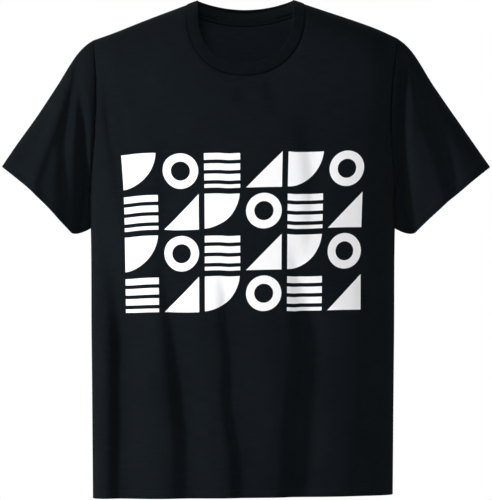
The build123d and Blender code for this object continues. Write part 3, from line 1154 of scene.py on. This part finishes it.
def tape(name):
    material, tree, place, u, v = cotton(name)
    thread = stitches(u, v, (STITCH_INSET, TAPE_WIDTH - STITCH_INSET))
    # painted light: the tape's tones and thread are paler than the jersey's, for the shade inside
    # the neck
    colour = mix(tree, noise(tree, place, 300, 2), TAPE_DARK_PAINTED_LIGHT, TAPE_PALE_PAINTED_LIGHT)
    colour = mix(tree, thread * 0.5, colour, TAPE_THREAD_PAINTED_LIGHT)
    height = (u + v).wave(SLANT_PITCH) * SLANT_RELIEF + thread * TAPE_STITCH_RELIEF
    return give_finish(material, colour, height)


neck_rib_material, neck_tape_material = rib("black_rib"), tape("black_tape")
print("materials", sorted(material.name for material in bpy.data.materials))

# %% [markdown]
# ## Dressing the frame
#
# Each sheet takes the place of the solid that stood for it, and says how big its cloth was before
# it was sewn. The sizes are the cut sizes of such a shirt, and what each sheet measures is printed
# beside them, because cloth that is sewn neither grows nor shrinks.

# %% Pieces and their cloth
def cloth_area(piece):
    """The area of one face of the cloth, with its hidden plies."""
    return sum(face.area for face in piece.data.polygons) / 2


def dress(piece, replaced, slot, thickness, materials, flat, area, held):
    finish_cloth(piece, thickness, *materials)
    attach(piece, "root")
    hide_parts(replaced)
    print(piece.name, "cut to", flat, "area", area, "measured", round(cloth_area(piece), 4))


SLEEVE_FLAT, SLEEVE_AREA = (0.530, 0.262), 0.079
PIECES = [
    # piece, its solid, slot, thickness, face and reverse, flat size, flat area, how it is held
    (front, "front_panel", "jersey", CLOTH_THICKNESS, (body_front_jersey, reverse_jersey_painted_light),
     (0.575, 0.765), 0.385, "hung"),
    (back, "back_panel", "jersey", CLOTH_THICKNESS, (body_jersey, reverse_jersey_painted_light),
     (0.575, 0.790), 0.400, "hung"),
    (sleeve_left, "sleeve_left", "jersey", CLOTH_THICKNESS, (sleeve_jersey, reverse_jersey_painted_light),
     SLEEVE_FLAT, SLEEVE_AREA, "hung"),
    (sleeve_right, "sleeve_right", "jersey", CLOTH_THICKNESS, (sleeve_jersey, reverse_jersey_painted_light),
     SLEEVE_FLAT, SLEEVE_AREA, "hung"),
    (neck_band, "neck_rib", "rib_knit", CLOTH_THICKNESS, (neck_rib_material,),
     (0.600, 0.044), None, "stretched"),
    (neck_tape, "neck_tape", "tape", TAPE_THICKNESS, (neck_tape_material,),
     (0.235, 0.0100), None, "hung"),
]
for row in PIECES:
    dress(*row)

# %% [markdown]
# ## The floor
#
# The shirt hangs just above a pale floor, which takes its shadow. Further out the floor turns to
# plain white, the white of the picture's background. That white is only for the camera and for
# reflections: Light Path tells those rays from the ones that light the cloth, so that the white
# adds no light.

# %% Floor
FLOOR_DOWN, FLOOR_RADIUS = 0.80, 9
PALE, PURE_WHITE = (0.86, 0.86, 0.86, 1), (1, 1, 1, 1)
PALE_TO_WHITE = (0.30, 0.48)


def seen_rays(tree):
    """1 for a ray that the camera sees, also in a reflection or through glass, and 0 for light."""
    rays = node(tree, "ShaderNodeLightPath", {}, {}).socket.node
    kinds = ("Is Camera Ray", "Is Glossy Ray", "Is Transmission Ray")
    camera_ray, glossy, through = (Wire(tree, rays.outputs[kind]) for kind in kinds)
    return (camera_ray + glossy + through).math("MINIMUM", 1)


def studio_white(name):
    """A pale floor near the shirt that turns to plain white further out."""
    material = bpy.data.materials.new(name)
    material.use_nodes = True
    tree = material.node_tree
    shader = tree.nodes["Principled BSDF"]
    shader.inputs["Base Color"].default_value = PALE
    shader.inputs["Roughness"].default_value = 1
    shader.inputs["Specular IOR Level"].default_value = 0
    place = node(tree, "ShaderNodeTexCoord", {}, {}, "Object")
    distance = node(tree, "ShaderNodeVectorMath", {"operation": "LENGTH"}, [place], 1)
    white = node(tree, "ShaderNodeEmission", {}, {"Color": PURE_WHITE, "Strength": 1.0})
    factor = seen_rays(tree) * distance.step(*PALE_TO_WHITE)
    both = node(tree, "ShaderNodeMixShader", {}, [factor, Wire(tree, shader.outputs[0]), white])
    tree.links.new(both.socket, tree.nodes["Material Output"].inputs["Surface"])
    return material


bpy.ops.object.select_all(action="DESELECT")
bpy.ops.mesh.primitive_circle_add(vertices=96, radius=FLOOR_RADIUS, fill_type="NGON",
                                  location=(0, 0, -FLOOR_DOWN))
floor = bpy.context.object
floor.name = "floor"
floor.data.materials.append(studio_white("pale_floor"))
print("the floor lies", round(FLOOR_DOWN - HEM_DOWN, 3), "m below the hem")

# %% [markdown]
# ## Lamps
#
# Black cloth shows its folds only when light comes from one side. So a tall lamp stands to the
# left, a smaller one in front throws the shadow of the neck band into the neck, a weak one fills in
# the right, and one behind lights the back. All of them are area lamps, as soft boxes are.

# %% Soft boxes
AIM = (0, 0, -0.4)
LAMPS = [
    # name, place, width, height, watts
    ("front_light", (-0.27, -2.88, 0.95), 0.5, 0.5, 39),
    ("side_light", (-2.76, -1.47, 0.27), 0.5, 1.2, 82),
    ("fill", (2.4, -1.9, 0.3), 1.4, 1.8, 10),
    ("back_light", (0.3, 2.6, 1.0), 1.6, 1.6, 50),
]

for name, place, width, height, watts in LAMPS:
    bpy.ops.object.select_all(action="DESELECT")
    bpy.ops.object.light_add(type="AREA", location=place)
    lamp = bpy.context.object
    lamp.name = name
    lamp.data.shape = "RECTANGLE"
    lamp.data.size, lamp.data.size_y = width, height
    lamp.data.energy = watts
    lamp.rotation_euler = (Vector(AIM) - Vector(place)).to_track_quat("-Z", "Y").to_euler()
print(len(LAMPS), "lamps of", sum(row[-1] for row in LAMPS), "watts in all")

# %% [markdown]
# ## Surroundings
#
# A white room throws a little light from all sides, and the camera sees it as plain white. The two
# are different strengths of one colour, so the world mixes two backgrounds by the kind of ray, as
# the floor does.

# %% The room
ROOM_LIGHT = 0.08

world = bpy.data.worlds.new("studio")
bpy.context.scene.world = world
world.use_nodes = True
tree = world.node_tree
for old in list(tree.nodes):
    tree.nodes.remove(old)
soft = node(tree, "ShaderNodeBackground", {}, {"Color": PURE_WHITE, "Strength": ROOM_LIGHT})
white = node(tree, "ShaderNodeBackground", {}, {"Color": PURE_WHITE, "Strength": 1.0})
both = node(tree, "ShaderNodeMixShader", {}, [seen_rays(tree), soft, white])
out = tree.nodes.new("ShaderNodeOutputWorld")
tree.links.new(both.socket, out.inputs["Surface"])
print("the room lights the cloth at a strength of", ROOM_LIGHT)

# %% [markdown]
# ## Camera
#
# The camera looks straight at the front from 12 m, level with the middle of the picture. From so
# far away the front and the back are drawn at nearly the same scale, as in a flat catalogue
# picture. The lens is worked out so that a pixel is 1.5 mm at the shirt, the scale at which the
# folds were read.

# %% Camera
CAMERA_DISTANCE = 12.0
SENSOR = 36
PICTURE_WIDTH, PICTURE_HEIGHT = 492, 500

across = (PICTURE_WIDTH / 2 - MIDDLE_PIXEL) * PIXEL
up = (TOP_PIXEL - PICTURE_HEIGHT / 2) * PIXEL
bpy.ops.object.select_all(action="DESELECT")
bpy.ops.object.camera_add(location=(across, -CAMERA_DISTANCE, up), rotation=(math.pi / 2, 0, 0))
camera = bpy.context.object
camera.name = "camera"
camera.data.sensor_fit = "HORIZONTAL"
camera.data.sensor_width = SENSOR
camera.data.lens = SENSOR * CAMERA_DISTANCE / (PICTURE_WIDTH * PIXEL)
bpy.context.scene.camera = camera
bpy.context.scene.view_settings.view_transform = "Standard"
print("the lens is", round(camera.data.lens), "mm")
